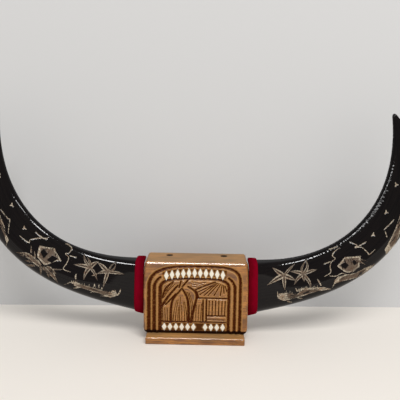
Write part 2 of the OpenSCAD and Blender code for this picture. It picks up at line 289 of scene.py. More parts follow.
drill_play, lip_play = 1.0, 0.01
pen_rim, pen_lip = 1.4, 0.15
holes, rims, lips = [], [], []
for mount in frame["record"]["mounts"]:
    if mount["kind"] == "bore":
        x, y, _ = mount["pos_m"]
        mouth = Vector((x / mm, y / mm, block_high.z + lip_play))
        radius = mount["dims"]["r_mm"]
        holes.append((mouth, (0, 0, -1), radius, radius, mount["dims"]["length_mm"]))
        rims.append((mouth, (0, 0, -1), radius + pen_rim - pen_lip, radius, pen_rim))
        lips.append((mouth, (0, 0, -1), radius + pen_rim, radius + pen_rim - pen_lip, pen_lip))
dowel_play = 0.1
for name, side in (("left_dowel", -1), ("right_dowel", 1)):
    low, high = (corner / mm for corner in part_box(name))
    radius = (high.z - low.z) / 2 + dowel_play
    inner_end = high.x if side < 0 else low.x
    mouth = Vector((side * (block_high.x + drill_play), 0, (low.z + high.z) / 2))
    holes.append((mouth, (-side, 0, 0), radius, radius, abs(mouth.x - inner_end)))
screw_x, screw_y, screw_hole = 51.8, 16.8, 2.1
screw_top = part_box("foot_screws")[1].z / mm
for x in (-screw_x, screw_x):
    for y in (-screw_y, screw_y):
        mouth = Vector((x, y, block_low.z - drill_play))
        holes.append((mouth, (0, 0, 1), screw_hole, screw_hole, screw_top + drill_play - mouth.z))
for cuts in (holes, rims, lips):
    drill(block, cuts)


def smooth_path(points, steps=6):
    """Points on a smooth curve through the given ones."""
    p = np.asarray(points, float)
    p = np.vstack([2 * p[0] - p[1], p, 2 * p[-1] - p[-2]])
    t = np.linspace(0, 1, steps, endpoint=False)[:, None]
    path = []
    for a, b, c, d in zip(p, p[1:], p[2:], p[3:]):
        bend, twist = 2 * a - 5 * b + 4 * c - d, 3 * b - a - 3 * c + d
        path.append(0.5 * (2 * b + (c - a) * t + bend * t ** 2 + twist * t ** 3))
    return np.vstack(path + [p[-2:-1]])


def stroke(points, widths, steps=6):
    """One cut of a tool as flat quads: a ribbon along a smooth curve, with its widths spread along it."""
    path = smooth_path(points, steps)
    along = np.gradient(path, axis=0)
    across = np.c_[-along[:, 1], along[:, 0]] / (np.linalg.norm(along, axis=1)[:, None] + 1e-9)
    width = np.interp(np.linspace(0, 1, len(path)), np.linspace(0, 1, len(widths)), widths)[:, None] / 2
    left, right = path + across * width, path - across * width
    return [[left[k], left[k + 1], right[k + 1], right[k]] for k in range(len(path) - 1)]


def drawing(name, shapes):
    """A flat drawing, with one face for each closed shape. Its units stand for millimetres."""
    faces, points = [], []
    for shape in shapes:
        faces.append(range(len(points), len(points) + len(shape)))
        points += [(x, y, 0) for x, y in shape]
    return mesh_piece(name, points, faces)


def new_tree(name, inputs):
    """A Geometry Nodes tree with named inputs and one geometry output."""
    tree = bpy.data.node_groups.new(name, "GeometryNodeTree")
    for label, kind in inputs.items():
        tree.interface.new_socket(label, in_out="INPUT", socket_type="NodeSocket" + kind)
    tree.interface.new_socket("Geometry", in_out="OUTPUT", socket_type="NodeSocketGeometry")
    return tree, add(tree, "NodeGroupInput").outputs


def end_tree(tree, geometry, material):
    """Makes a tree's instances real, sets its material and hands the result out."""
    real = add(tree, "GeometryNodeRealizeInstances", {"Geometry": geometry})
    dressed = add(tree, "GeometryNodeSetMaterial", {"Geometry": real, "Material": material})
    add(tree, "NodeGroupOutput", {"Geometry": dressed})


def use_tree(piece, tree, values):
    """Puts a tree on a piece, with its inputs set by name."""
    modifier = piece.modifiers.new(tree.name, "NODES")
    modifier.node_group = tree
    for item in tree.interface.items_tree:
        if item.in_out == "INPUT" and item.name in values:
            modifier[item.identifier] = values[item.name]


# Carving follows a flat drawing. Each point of the surface knows its place in the drawing and the way into
# the material. It is pushed in by Depth inside a drawn shape and less over Wall beside it, with Round 2 for
# rounded shoulders and 1 for plain slopes. With Leave Standing, the drawn shape is spared instead.
carve, given = new_tree("carve a drawing", {
    "Geometry": "Geometry", "Drawing": "Object", "Depth": "Float", "Wall": "Float", "Round": "Float",
    "Leave Standing": "Bool", "Mark": "String", "Material": "Material"})
drawn = add(carve, "GeometryNodeObjectInfo", {"Object": given["Drawing"]}).outputs["Geometry"]
spot = add(carve, "GeometryNodeInputNamedAttribute", {"Name": "drawing_place"}, data_type="FLOAT_VECTOR")
inward = add(carve, "GeometryNodeInputNamedAttribute", {"Name": "inward"}, data_type="FLOAT_VECTOR")
before = add(carve, "GeometryNodeInputNamedAttribute", {"Name": "cut"}, data_type="FLOAT")
marked = add(carve, "GeometryNodeInputNamedAttribute", {"Name": given["Mark"]}, data_type="FLOAT")
near = add(carve, "GeometryNodeProximity", {0: drawn, 2: spot}, target_element="FACES")
share = add(carve, "ShaderNodeMapRange", {
    "Value": near.outputs["Distance"], "From Min": 0.0, "From Max": given["Wall"],
    "To Min": 1.0, "To Max": 0.0})
bite = add(carve, "ShaderNodeMath", {0: share, 1: given["Round"]}, operation="POWER")
fresh = add(carve, "ShaderNodeMath", {0: bite, 1: given["Depth"]}, operation="MULTIPLY")
deeper = add(carve, "ShaderNodeMath", {0: before, 1: fresh}, operation="MAXIMUM")
spared = add(carve, "ShaderNodeMath", {0: 1.0, 1: bite}, operation="SUBTRACT")
shallower = add(carve, "ShaderNodeMath", {0: before, 1: spared}, operation="MULTIPLY")
after = add(carve, "GeometryNodeSwitch", {
    "Switch": given["Leave Standing"], "False": deeper, "True": shallower}, input_type="FLOAT")
change = add(carve, "ShaderNodeMath", {0: after, 1: before}, operation="SUBTRACT")
push = add(carve, "ShaderNodeVectorMath", {0: inward, "Scale": change}, operation="SCALE")
moved = add(carve, "GeometryNodeSetPosition", {"Geometry": given["Geometry"], "Offset": push})
kept_cut = add(carve, "GeometryNodeStoreNamedAttribute", {
    "Geometry": moved, "Name": "cut", "Value": after}, data_type="FLOAT")
mark = add(carve, "ShaderNodeMath", {0: marked, 1: share}, operation="MAXIMUM")
kept_mark = add(carve, "GeometryNodeStoreNamedAttribute", {
    "Geometry": kept_cut, "Name": given["Mark"], "Value": mark}, data_type="FLOAT")
end_tree(carve, kept_mark, given["Material"])


def carve_drawings(piece, material, cuts):
    """Carves flat drawings into a piece. Each cut is (shapes, depth, wall, round, leave standing, mark),
    with its depth and wall in millimetres."""
    sheets = []
    for shapes, depth, wall, rounded, standing, mark_name in cuts:
        sheets.append(drawing("drawing", shapes))
        use_tree(piece, carve, {
            "Drawing": sheets[-1], "Depth": depth * mm, "Wall": wall, "Round": rounded,
            "Leave Standing": standing, "Mark": mark_name, "Material": material})
    settle(piece)
    for sheet in sheets:
        bpy.data.objects.remove(sheet)


def keep_vectors(piece, name, vectors):
    """Keeps one vector for each point of a piece."""
    attribute = piece.data.attributes.new(name, "FLOAT_VECTOR", "POINT")
    attribute.data.foreach_set("vector", np.asarray(vectors, np.float32).ravel())


def points_of(piece):
    """The piece's points in metres."""
    points = np.empty(len(piece.data.vertices) * 3, np.float32)
    piece.data.vertices.foreach_get("co", points)
    return points.reshape(-1, 3)


# The drawing lies in the plane of the block's front: x from the middle, height from just above its edge.
far_away = 1000.0
carving_z = 4.6
front_share = 0.7
drawing_foot = block_low.z + carving_z
block_points = points_of(block) / mm
on_front = block_points[:, 1] < block_low.y + front_share * block_edge
keep_vectors(block, "drawing_place", np.c_[
    block_points[:, 0], block_points[:, 2] - drawing_foot, np.where(on_front, 0, far_away)])
keep_vectors(block, "inward", np.tile((0, 1, 0), (len(block_points), 1)))

arch_middle, arch_foot = -2, -6
right_groove, top_groove, left_groove, groove_end = 1.4, 0.5, 2.4, 0.4


def arch(half_width, spring, top, right_bow, left_bow, reach=0):
    """A bow over two upright legs, flatter with a smaller bow. Its middle is left out as far as reach."""
    turns = np.radians(np.arange(0, 181, 4))
    bow = np.where(turns < math.pi / 2, right_bow, left_bow)
    bent = [np.sign(v) * np.abs(v) ** bow for v in (np.cos(turns), np.sin(turns))]
    line = np.c_[half_width * bent[0], spring + (top - spring) * bent[1]]
    line = np.vstack([[half_width, arch_foot], line, [-half_width, arch_foot]])
    line += (arch_middle, 0)
    if not reach:
        return stroke(line, [right_groove, top_groove, left_groove], 2)
    right, left = line[line[:, 0] > arch_middle + reach], line[line[:, 0] < arch_middle - reach]
    return stroke(right, [right_groove, groove_end], 2) + stroke(left, [groove_end, left_groove], 2)


arches = arch(68.4, 64, 100.3, 0.45, 0.7)
arches += arch(60.4, 64, 93, 0.8, 0.8, reach=49)
arches += arch(51.4, 62, 81.5, 0.5, 0.6)

# The scene is lines of four tools: the houses' corner posts and doorways with the widest one, then their
# edges, the posts and rays of the right house, and the straws of the thatch with the finest one.
ground_z = 14.5
eaves_z = 52
wide_lines = [
    [(-21, 66), (-31, 54), (-35, 47), (-37, 35), (-37.5, 13)],
    [(-20.5, 66), (-15, 56), (-11.5, 44), (-10.5, 13)],
    [(-12, 69.5), (-3.5, 64), (1, 56), (-0.5, 44), (-5, 25), (-7, 13)],
    [(-27, 71), (-41, 54), (-51, 38)],
]
narrow_lines = [
    [(-52, ground_z), (46, ground_z)],
    [(-30, 58), (-36.5, 50.5), (-45, 41)],
    [(-22.5, 77.5), (-25, 68)],
    [(-12.5, 79), (-20.5, 69)],
    [(-34, 76.5), (-45.5, 66), (-50, 51)],
    [(29, 77), (14, 71.5), (-1, 64.5)],
    [(-1, 64.5), (2, 59), (4, eaves_z)],
    [(3, eaves_z), (49, eaves_z)],
    [(11, 49), (11, ground_z)],
    [(16, 50), (16, ground_z)],
    [(18, 24.5), (44.5, 24.5)],
]
roof_ends = [(0, 60), (6, 57.5), (12, 56), (18, 56), (27, 56), (36.5, 56), (42, 60), (46.5, 62)]
ridge_start, ridge_step, ridge_z, ridge_fall = 28, 2.2, 76, 0.9
rays = [
    [(ridge_start + ridge_step * k, ridge_z - ridge_fall * abs(k - 2)), end]
    for k, end in enumerate(roof_ends)
]
rays += [[(x, 25), (x + 0.3, 48)] for x in (20, 24.8, 29.6, 34.4, 39.2, 43.8)]
rays += [[(18, 18.5), (45, 18.5)]]
thatch_seed = 3
thatch_middle, thatch_foot, thatch_tall = -22, 16, 40
thatch_drawn_in, thatch_bend = 0.65, 1.6
straw_stray = 0.8
straw_tops = (36, 57)
draw = random.Random(thatch_seed)
thatch = []
for foot_x in np.linspace(-33.5, -13.5, 7):
    foot_x += draw.uniform(-straw_stray, straw_stray)
    top = draw.uniform(*straw_tops)
    line = []
    for z in (top, (top + thatch_foot) / 2, thatch_foot):
        roof_share = 1 - thatch_drawn_in * ((z - thatch_foot) / thatch_tall) ** thatch_bend
        line.append((thatch_middle + (foot_x - thatch_middle) * roof_share, z))
    thatch.append(line)
thatch += [[(x - 4, 62 - k), (x + 1.5, 42), (x + 2, 17)] for k, x in enumerate((-11, -8.5, -6))]
thatch += [[(x, 16), (x + 0.3, 30), (x + 1, 40 + k)] for k, x in enumerate((-3.5, 0.2, 4.1, 7.8))]
thatch += [[(-6 - k, 77 - 3.2 * k), (4, 75 - 3 * k), (15 - 4 * k, 77 - 3.6 * k)] for k in range(3)]
thatch += [[(-31 - 3 * k, 73.5 + k), (-41 - 2 * k, 63), (-48 - 0.6 * k, 52 + 3 * k)] for k in range(3)]
thatch += [[(x, 16), (x - 0.5, 27), (x - 1, 36)] for x in (-49, -45.5, -42)]

# Each band is a sunk ground, bent over its crest by its sag, with lozenges that stand in a row on it.
lozenge_count = 11
lozenge_share = 0.39
lozenge_edge = 0.4
band_crest, band_reach = 4, 46
upper_band = {
    "start": -48.5, "end": 44, "middle": 90.4, "sag": 4.2, "tall": 14.6,
    "ground": 15, "rise": 0, "empty": None}
lower_band = {
    "start": -51.5, "end": 45.5, "middle": 6.2, "sag": 0, "tall": 11.6,
    "ground": 19, "rise": -3.2, "empty": 6}
sunk_ground, lozenges, lozenge_edges = [], [], []
for band in (upper_band, lower_band):
    pitch = (band["end"] - band["start"]) / lozenge_count
    x = np.linspace(band["start"], band["end"], 25)
    z = band["middle"] - band["sag"] * ((x - band_crest) / band_reach) ** 2
    sunk_ground += stroke(np.c_[x, z + band["rise"]], [band["ground"]], 1)
    for k in range(lozenge_count):
        x = band["start"] + pitch * (k + 0.5)
        z = band["middle"] - band["sag"] * ((x - band_crest) / band_reach) ** 2
        wide, tall = pitch * lozenge_share, band["tall"] / 2
        corners = [(x - wide, z), (x, z - tall), (x + wide, z), (x, z + tall)]
        if k != band["empty"]:
            lozenges.append(corners)
            for start, end in zip(corners, corners[1:] + corners[:1]):
                lozenge_edges += stroke([start, end], [lozenge_edge], 1)


def cuts_along(lines, widths):
    """All cuts of one tool along some lines."""
    return [quad for line in lines for quad in stroke(line, widths)]


carve_drawings(block, stained_hardwood, [
    (sunk_ground, 1.3, 1.2, 1.0, False, "sunk"),
    (arches, 3.0, 3.9, 2.0, False, "carved"),
    (cuts_along(wide_lines, [0.5, 1.8]), 2.6, 2.8, 2.0, False, "carved"),
    (cuts_along(narrow_lines, [0.7]), 2.2, 2.2, 2.0, False, "carved"),
    (cuts_along(rays, [0.3, 0.6]), 1.3, 1.5, 2.0, False, "carved"),
    (cuts_along(thatch, [0.1, 0.3]), 1.1, 1.2, 1.5, False, "carved"),
    (lozenge_edges, 2.2, 1.3, 1.0, False, "carved"),
    (lozenges, 2.2, 0.5, 1.0, True, "painted"),
])

# Painted shade: the bores of the pen holes and the joint above the foot are painted almost black, as the
# shade that falls there.
joint_shade_height = 5.5
painted_joint_shade, painted_bore_shade = 1.4, 1.5
crease = math.radians(50)
block_points = points_of(block) / mm
dark = np.empty(len(block_points), np.float32)
block.data.attributes["carved"].data.foreach_get("value", dark)
# Painted shade in the joint between block and foot.
dark[block_points[:, 2] < block_low.z + joint_shade_height] = painted_joint_shade
for mouth, _, wide, _, lip_depth in lips:
    beside = np.hypot(block_points[:, 0] - mouth.x, block_points[:, 1] - mouth.y)
    in_bore = (beside < wide - 2 * lip_play) & (block_points[:, 2] < block_high.z - lip_depth / 2)
    # Painted shade inside the pen bores.
    dark[in_bore] = painted_bore_shade
block.data.attributes["carved"].data.foreach_set("value", dark)
block.data.shade_smooth()
block.data.set_sharp_from_angle(angle=crease)
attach(block, "root")
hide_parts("block")


# Dowels and cores: beech dowels glued into the block's ends, and blocks of the same pale wood shaped to the
# hollow of each horn and glued on them. All of it is sawn or turned and left bare.

# Bare sawn beech: pale, with short flecks along the grain and a dry, rough surface.
sawn_beech, beech = new_material("sawn_beech")
fleck_along, fleck_across = 6 * mm, 0.8 * mm
beech_place = add(beech, "ShaderNodeMapping", {
    "Vector": add(beech, "ShaderNodeTexCoord").outputs["Object"],
    "Scale": (1 / fleck_along, 1 / fleck_across, 1 / fleck_across)})
flecks = add(beech, "ShaderNodeTexNoise", {"Vector": beech_place, "Scale": 1, "Detail": 3})
beech_tone = add(beech, "ShaderNodeMix", {
    0: flecks, 6: linear("#d6b27c"), 7: linear("#b98c55")}, data_type="RGBA")
beech_bump = add(beech, "ShaderNodeBump", {"Strength": 0.4, "Distance": 0.2 * mm, "Height": flecks})
beech_surface = add(beech, "ShaderNodeBsdfPrincipled", {
    "Base Color": beech_tone.outputs[2], "Roughness": 0.75, "Normal": beech_bump})
add(beech, "ShaderNodeOutputMaterial", {"Surface": beech_surface})

for name in ("left_dowel", "right_dowel", "left_core", "right_core"):
    dress_node(name, sawn_beech)


# Horns: a pair of water buffalo horns, hollow at the root and solid at the tip, scraped and polished black.
# The inner side is flat and meets the front at a tight corner. The front is engraved down to the pale horn
# under the skin, with palms, a thatched hut, hills and birds. Each horn is pushed over its core and nailed.

horn_length = 412
horn_half_height = 41.8
horn_depth_share = 0.55
horn_rise = 8.2
horn_curl = {"left": 102.5, "right": 107}
early_curl = 0.93
root_taper, body_swell = 1.406, 3.1
root_wedge, wedge_growth = 0.02, 2.36
flat_inside, oval_outside = 0.4, 0.86
tip_depth_share = 0.95
horn_sweep = 20
horn_root = Vector((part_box("right_horn")[0].x / mm, 0, 76))
tip_share = 0.06
tip_round = 1.5
root_wall_share = 0.12
hollow_share = 0.6
square_cut_share = 0.15
walk_steps = 2000


def heading(t, curl):
    """Direction of the middle line, from 0 at the root to 1 at the tip, in radians."""
    return np.radians(horn_rise + curl * t * t * (1 + early_curl - early_curl * t))


def half_height(t):
    """Half the horn's height: flared at the root, even along the body, tapering to a blunt tip."""
    tip_left = np.minimum(1, (1 - t) * horn_length / (horn_half_height * tip_share * tip_round))
    blunt = np.sqrt(np.maximum(0, 1 - (1 - tip_left) ** 2))
    tip_taper = 1 - root_taper + body_swell - tip_share
    return horn_half_height * (1 - root_taper * t + body_swell * t ** 2 - tip_taper * t ** 3) * blunt


def horn_guide(name, side, t, share, grow, along, notch):
    """One point for each ring round a horn, with what the ring needs to know: how far it is along, the way
    to the horn's inner side, and its half height and half depth, scaled by share and grown by grow."""
    curl = horn_curl[side]
    sign = -1 if side == "left" else 1
    walk = np.linspace(0, 1, walk_steps + 1)
    turn = heading((walk[1:] + walk[:-1]) / 2, curl)
    steps = np.c_[np.cos(turn), np.sin(turn)] * horn_length / walk_steps
    run = np.vstack([(0, 0), np.cumsum(steps, axis=0)])
    x = sign * (horn_root.x + np.interp(t, walk, run[:, 0]))
    z = horn_root.z + np.interp(t, walk, run[:, 1])
    piece = mesh_piece(name, np.c_[x, horn_sweep * t * t, z] * mm, [])
    ease = np.clip(t / square_cut_share, 0, 1)
    tilt = heading(t, curl) * ease * ease * (3 - 2 * ease)
    keep_vectors(piece, "inner", np.c_[-sign * np.sin(tilt), 0 * t, np.cos(tilt)])
    depth = half_height(t) * (horn_depth_share + (tip_depth_share - horn_depth_share) * t ** 3)
    for label, values in {
        "half_height": (half_height(t) * share + grow) * mm,
        "half_depth": (depth * share + grow) * mm,
        "keystone": (1 - t) * (root_wedge - wedge_growth * t),
        "shape_inside": flat_inside + (1 - flat_inside) * t ** 3,
        "shape_outside": oval_outside + (1 - oval_outside) * t,
        "along": along,
        "notch": notch * mm,
    }.items():
        attribute = piece.data.attributes.new(label, "FLOAT", "POINT")
        attribute.data.foreach_set("value", np.asarray(values, np.float32))
    return piece


# The skin is a grid with one row for each ring of the guide. Sides go round from the inner side by way of
# the back, and Crowding draws them together at the front. The section is a rounded wedge: flat inside, oval
# outside. Notches cross the inner side, and Lap raises a stretch at the back for a seam.
notch_fade, notch_full = -0.2, 0.02
lap_start, lap_full, lap_end = 0.16, 0.2, 0.26
seam_gap = 0.002
skin, given = new_tree("skin round the horn", {
    "Geometry": "Geometry", "Sides": "Int", "Crowding": "Float", "Lap": "Float", "Material": "Material"})
ring_count = add(skin, "GeometryNodeAttributeDomainSize", {0: given["Geometry"]})
columns = add(skin, "ShaderNodeMath", {0: given["Sides"], 1: 1.0}, operation="ADD")
grid = add(skin, "GeometryNodeMeshGrid", {"Vertices X": ring_count, "Vertices Y": columns})
index = add(skin, "GeometryNodeInputIndex")
row = add(skin, "ShaderNodeMath", {0: index, 1: columns}, operation="DIVIDE")
ring = add(skin, "ShaderNodeMath", {0: row}, operation="FLOOR")
column = add(skin, "ShaderNodeMath", {0: index, 1: columns}, operation="MODULO")
round_share = add(skin, "ShaderNodeMath", {0: column, 1: given["Sides"]}, operation="DIVIDE")
even_turn = add(skin, "ShaderNodeMath", {0: round_share, 1: math.tau}, operation="MULTIPLY")
from_back = add(skin, "ShaderNodeMath", {0: even_turn, 1: math.pi / 2}, operation="SUBTRACT")
sway = add(skin, "ShaderNodeMath", {0: from_back}, operation="SINE")
turn = add(skin, "ShaderNodeMath", {0: sway, 1: given["Crowding"], 2: even_turn}, operation="MULTIPLY_ADD")
middle = add(skin, "GeometryNodeSampleIndex", {
    "Geometry": given["Geometry"], "Value": add(skin, "GeometryNodeInputPosition"), "Index": ring},
    data_type="FLOAT_VECTOR")
known = {}
for label in (
    "inner", "half_height", "half_depth", "keystone", "shape_inside", "shape_outside", "along", "notch"
):
    kind = "FLOAT_VECTOR" if label == "inner" else "FLOAT"
    source = add(skin, "GeometryNodeInputNamedAttribute", {"Name": label}, data_type=kind)
    known[label] = add(skin, "GeometryNodeSampleIndex", {
        "Geometry": given["Geometry"], "Value": source, "Index": ring}, data_type=kind)
cosine = add(skin, "ShaderNodeMath", {0: turn}, operation="COSINE")
sine = add(skin, "ShaderNodeMath", {0: turn}, operation="SINE")
is_inside = add(skin, "ShaderNodeMath", {0: cosine, 1: 0.0}, operation="GREATER_THAN")
is_front = add(skin, "ShaderNodeMath", {0: sine, 1: 0.0}, operation="LESS_THAN")
power = add(skin, "GeometryNodeSwitch", {
    "Switch": is_inside, "False": known["shape_outside"], "True": known["shape_inside"]},
    input_type="FLOAT")
size = add(skin, "ShaderNodeMath", {0: cosine}, operation="ABSOLUTE")
sharp = add(skin, "ShaderNodeMath", {0: 2.0, 1: power}, operation="DIVIDE")
filled = add(skin, "ShaderNodeMath", {0: size, 1: sharp}, operation="POWER")
left_over = add(skin, "ShaderNodeMath", {0: 1.0, 1: filled}, operation="SUBTRACT", use_clamp=True)
root = add(skin, "ShaderNodeMath", {0: power, 1: 0.5}, operation="MULTIPLY")
bulge = add(skin, "ShaderNodeMath", {0: left_over, 1: root}, operation="POWER")
way = add(skin, "ShaderNodeMath", {0: sine}, operation="SIGN")
across = add(skin, "ShaderNodeMath", {0: bulge, 1: way}, operation="MULTIPLY")
wedge = add(skin, "ShaderNodeMath", {0: known["keystone"], 1: cosine, 2: 1.0}, operation="MULTIPLY_ADD")
spread = add(skin, "ShaderNodeMath", {0: across, 1: wedge}, operation="MULTIPLY")
up = add(skin, "ShaderNodeMath", {0: cosine, 1: known["half_height"]}, operation="MULTIPLY")
back = add(skin, "ShaderNodeMath", {0: spread, 1: known["half_depth"]}, operation="MULTIPLY")
inside_share = add(skin, "ShaderNodeMath", {0: cosine, 1: bulge}, operation="SUBTRACT")
notched = add(skin, "ShaderNodeMapRange", {
    "Value": inside_share, "From Min": notch_fade, "From Max": notch_full}, interpolation_type="SMOOTHSTEP")
notch_depth = add(skin, "ShaderNodeMath", {0: notched, 1: known["notch"]}, operation="MULTIPLY")
up_notched = add(skin, "ShaderNodeMath", {0: up, 1: notch_depth}, operation="SUBTRACT")
raised = add(skin, "ShaderNodeMapRange", {
    "Value": round_share, "From Min": lap_start, "From Max": lap_full, "To Max": given["Lap"]},
    interpolation_type="SMOOTHSTEP")
lapped = add(skin, "ShaderNodeMath", {0: round_share, 1: lap_end}, operation="LESS_THAN")
lap = add(skin, "ShaderNodeMath", {0: raised, 1: lapped, 2: back}, operation="MULTIPLY_ADD")
rise = add(skin, "ShaderNodeVectorMath", {0: known["inner"], "Scale": up_notched}, operation="SCALE")
depth_way = add(skin, "ShaderNodeCombineXYZ", {"Y": lap})
reach = add(skin, "ShaderNodeVectorMath", {0: rise, 1: depth_way}, operation="ADD")
spot = add(skin, "ShaderNodeVectorMath", {0: middle, 1: reach}, operation="ADD")
shaped = add(skin, "GeometryNodeSetPosition", {"Geometry": grid, "Position": spot})
up_mm = add(skin, "ShaderNodeMath", {0: up, 1: mm}, operation="DIVIDE")
off_front = add(skin, "ShaderNodeMapRange", {"Value": is_front, "To Min": far_away, "To Max": 0.0})
drawing_place = add(skin, "ShaderNodeCombineXYZ", {"X": known["along"], "Y": up_mm, "Z": off_front})
placed = add(skin, "GeometryNodeStoreNamedAttribute", {
    "Geometry": shaped, "Name": "drawing_place", "Value": drawing_place}, data_type="FLOAT_VECTOR")
closed = add(skin, "GeometryNodeMergeByDistance", {"Geometry": placed, "Distance": seam_gap * mm})
soft = add(skin, "GeometryNodeSetShadeSmooth", {"Geometry": closed})
end_tree(skin, soft, given["Material"])


leaf_steps = 5
leaf_base, leaf_belly, leaf_tip = 0.6, 3.2, 1.3


def leaf(points, width):
    """A leaf along a smooth curve as one closed shape, broad near its base and drawn out to a fine tip."""
    spine = smooth_path(points, leaf_steps)
    along = np.gradient(spine, axis=0)
    across = np.c_[-along[:, 1], along[:, 0]] / np.linalg.norm(along, axis=1)[:, None]
    t = np.linspace(0, 1, len(spine))
    half = across * (width / 2 * (1 - t) ** leaf_tip * (leaf_base + leaf_belly * t))[:, None]
    return np.vstack([spine + half, (spine - half)[-2::-1]])


def vein(points, width):
    """The dark line along the middle of a leaf that the graver leaves standing."""
    spine = smooth_path(points, leaf_steps)
    return stroke(spine[2:-2], [width, width / 3], 1)


bird_cut = 1.5
bird_reach = ((-4.05, 0.9), (0.9, -3.15), (3.6, 1.8))


def bird(x, y):
    """A far bird: two wings and a tail in three short cuts."""
    return [leaf([(x, y), (x + run, y + rise)], bird_cut) for run, rise in bird_reach]


def scaled(shape, share):
    """A closed shape, drawn in or out about its middle."""
    middle = np.mean(shape, axis=0)
    return middle + (np.array(shape) - middle) * share


streak_widths = [0.2, 0.6, 0.2]
streak_sizes = (0.5, 1.3)


def streaks(draw, shape, density, run, rise):
    """Thin lines left standing across a shape, so that it looks cut with many strokes."""
    low, high = np.min(shape, axis=0), np.max(shape, axis=0)
    lines = []
    for _ in range(round(density * np.prod(high - low))):
        x, y = draw.uniform(low[0], high[0]), draw.uniform(low[1], high[1])
        size = draw.uniform(*streak_sizes)
        lines += stroke([(x, y), (x + run * size, y + rise * size)], streak_widths, 2)
    return lines


# Places on the front of a horn: millimetres along it from the root, and above its middle line.
# A palm is its heart, with a middle, a tip and a width for each leaf. A frond is its line and its width.
palms = {
    "left": [
        ((59, 16), [((70, 22), (78, 25), 7), ((67, 14), (75, 9), 5.5), ((56, 26), (49, 33), 2.2),
                    ((50, 23), (49, 33), 2.6), ((45, 18), (32, 18), 5), ((60, 7), (61, -9), 6.5)]),
        ((88, 15), [((101, 14), (114, 11), 6), ((92, 7), (92, -5), 6.5), ((99, 22), (105, 30), 4),
                    ((91, 22), (98, 28), 4), ((84, 22), (77, 27), 6.5), ((79, 9), (72, 0), 4)])],
    "right": [
        ((58, 16), [((49, 23), (40, 31), 7), ((45, 13), (29, 6), 8), ((56, 5), (55, -6), 6.5),
                    ((66, 11), (74, 5), 7), ((68, 23), (79, 29), 4)]),
        ((88, 11), [((97, 19), (99, 30), 4.6), ((88, 20), (99, 30), 3.4), ((80, 16), (68, 20), 6),
                    ((78, 7), (70, -1), 5), ((101, 12), (110, 11), 5), ((93, -2), (93, -12), 5),
                    ((87, 6), (86, 0), 6)])],
}
grounds = {
    "left": [
        [(117, -24), (110, -16), (101, -12), (93, -14), (84, -13), (70, -13), (60, -14), (49, -14),
         (46, -8), (43, -8), (39, -16), (48, -22), (54, -21), (65, -19), (73, -19), (88, -18), (98, -19),
         (109, -17)]],
    "right": [
        [(46, -10), (53, -10), (65, -13), (69, -18), (78, -13), (80, -10), (91, -11), (102, -14),
         (111, -17), (120, -25), (110, -22), (100, -20), (89, -20), (79, -21), (69, -21), (62, -22),
         (52, -23), (46, -19)],
        [(122, -23), (129, -13), (136, -10), (147, -13), (159, -18), (174, -20), (187, -25), (172, -32),
         (154, -25), (137, -19), (127, -18)]],
}
hills = {
    "left": [
        [(142, 32), (134, 32), (128, 30), (129, 23), (134, 20), (126, 17), (125, 8), (126, -1), (114, -1)],
        [(127, 20), (114, 22)], [(209, 2), (192, 4), (193, 9), (183, 19), (173, 25)],
        [(196, 21), (176, 22), (173, 27)], [(258, 2), (241, 4), (237, 5), (222, -8)]],
    "right": [
        [(160, 25), (148, 24), (142, 20), (144, 15), (136, 13), (131, 8), (128, 0), (117, -2)],
        [(123, 15), (136, 14)], [(142, 30), (158, 28)],
        [(179, 24), (185, 14), (180, 13), (188, 8), (190, -3), (190, -7), (201, -7)],
        [(183, 12), (200, 9)], [(124, -4), (133, -8), (142, -8), (147, -13)],
        [(231, 2), (252, -2)], [(230, -1), (225, -8)]],
}
huts = {
    "left": [(176, 10), (154, 19), (134, 8), (140, 6), (153, -9), (169, -4)],
    "right": [(158, 10), (179, -1), (168, -13), (156, -14), (148, -10), (141, 4)],
}
windows = {
    "left": [[(168, 4), (167, 9), (159, 7), (160, 0)], [(153, 0), (150, 8), (142, 8), (146, 0)]],
    "right": [[(147, 3), (154, 3), (156, -2), (150, -4)], [(164, -1), (168, -1), (168, -6), (164, -6)]],
}
fronds = {
    "left": [
        ([(158, -13), (165, -12), (176, -11), (185, -12), (196, -20)], 8), ([(169, -14), (180, -21)], 2.6),
        ([(163, -16), (176, -28)], 3), ([(178, -12), (190, -19)], 2), ([(179, -5), (186, 3)], 1.8),
        ([(170, -7), (177, 0)], 1.6), ([(158, -13), (154, -18), (150, -32)], 3),
        ([(153, -12), (147, -17)], 4), ([(145, -15), (139, -24)], 2.6),
        ([(148, -14), (137, -16), (125, -25)], 7), ([(150, -10), (141, -10), (131, -13)], 5),
        ([(142, -9), (126, -2)], 1.2)],
    "right": [([(172, -3), (177, -16)], 1.6), ([(176, -5), (182, -14)], 1.4)],
}
trees = {
    "left": [
        (278, 3), (250, -3), (234, -6), (215, -14), (210, -31), (213, -20), (224, -14), (239, -10),
        (268, -4)],
    "right": [
        (207, -28), (210, -18), (221, -15), (244, -10), (260, -7), (282, -3), (264, -12), (240, -20),
        (223, -30)],
}
birds = {"left": [(213, 14), (256, 18), (309, 15)], "right": [(215, 9), (256, 12), (303, 12)]}
blades = {
    "left": [
        [(103, -8), (105, -4), (105, 0)], [(39, -16), (36, -10), (35, -4)], [(93, -17), (103, -24)],
        [(71, -17), (78, -22)], [(73, -10), (75, -6)], [(67, -11), (68, -5)], [(62, -11), (63, -8)],
        [(75, 9), (82, 4)], [(52, -21), (62, -23)]],
    "right": [
        [(108, -13), (107, -7), (106, -2)], [(45, -18), (44, -12), (44, -6)], [(71, -22), (78, -26)],
        [(56, -25), (63, -29)], [(73, -12), (71, -6)], [(75, -12), (76, -8)]],
}

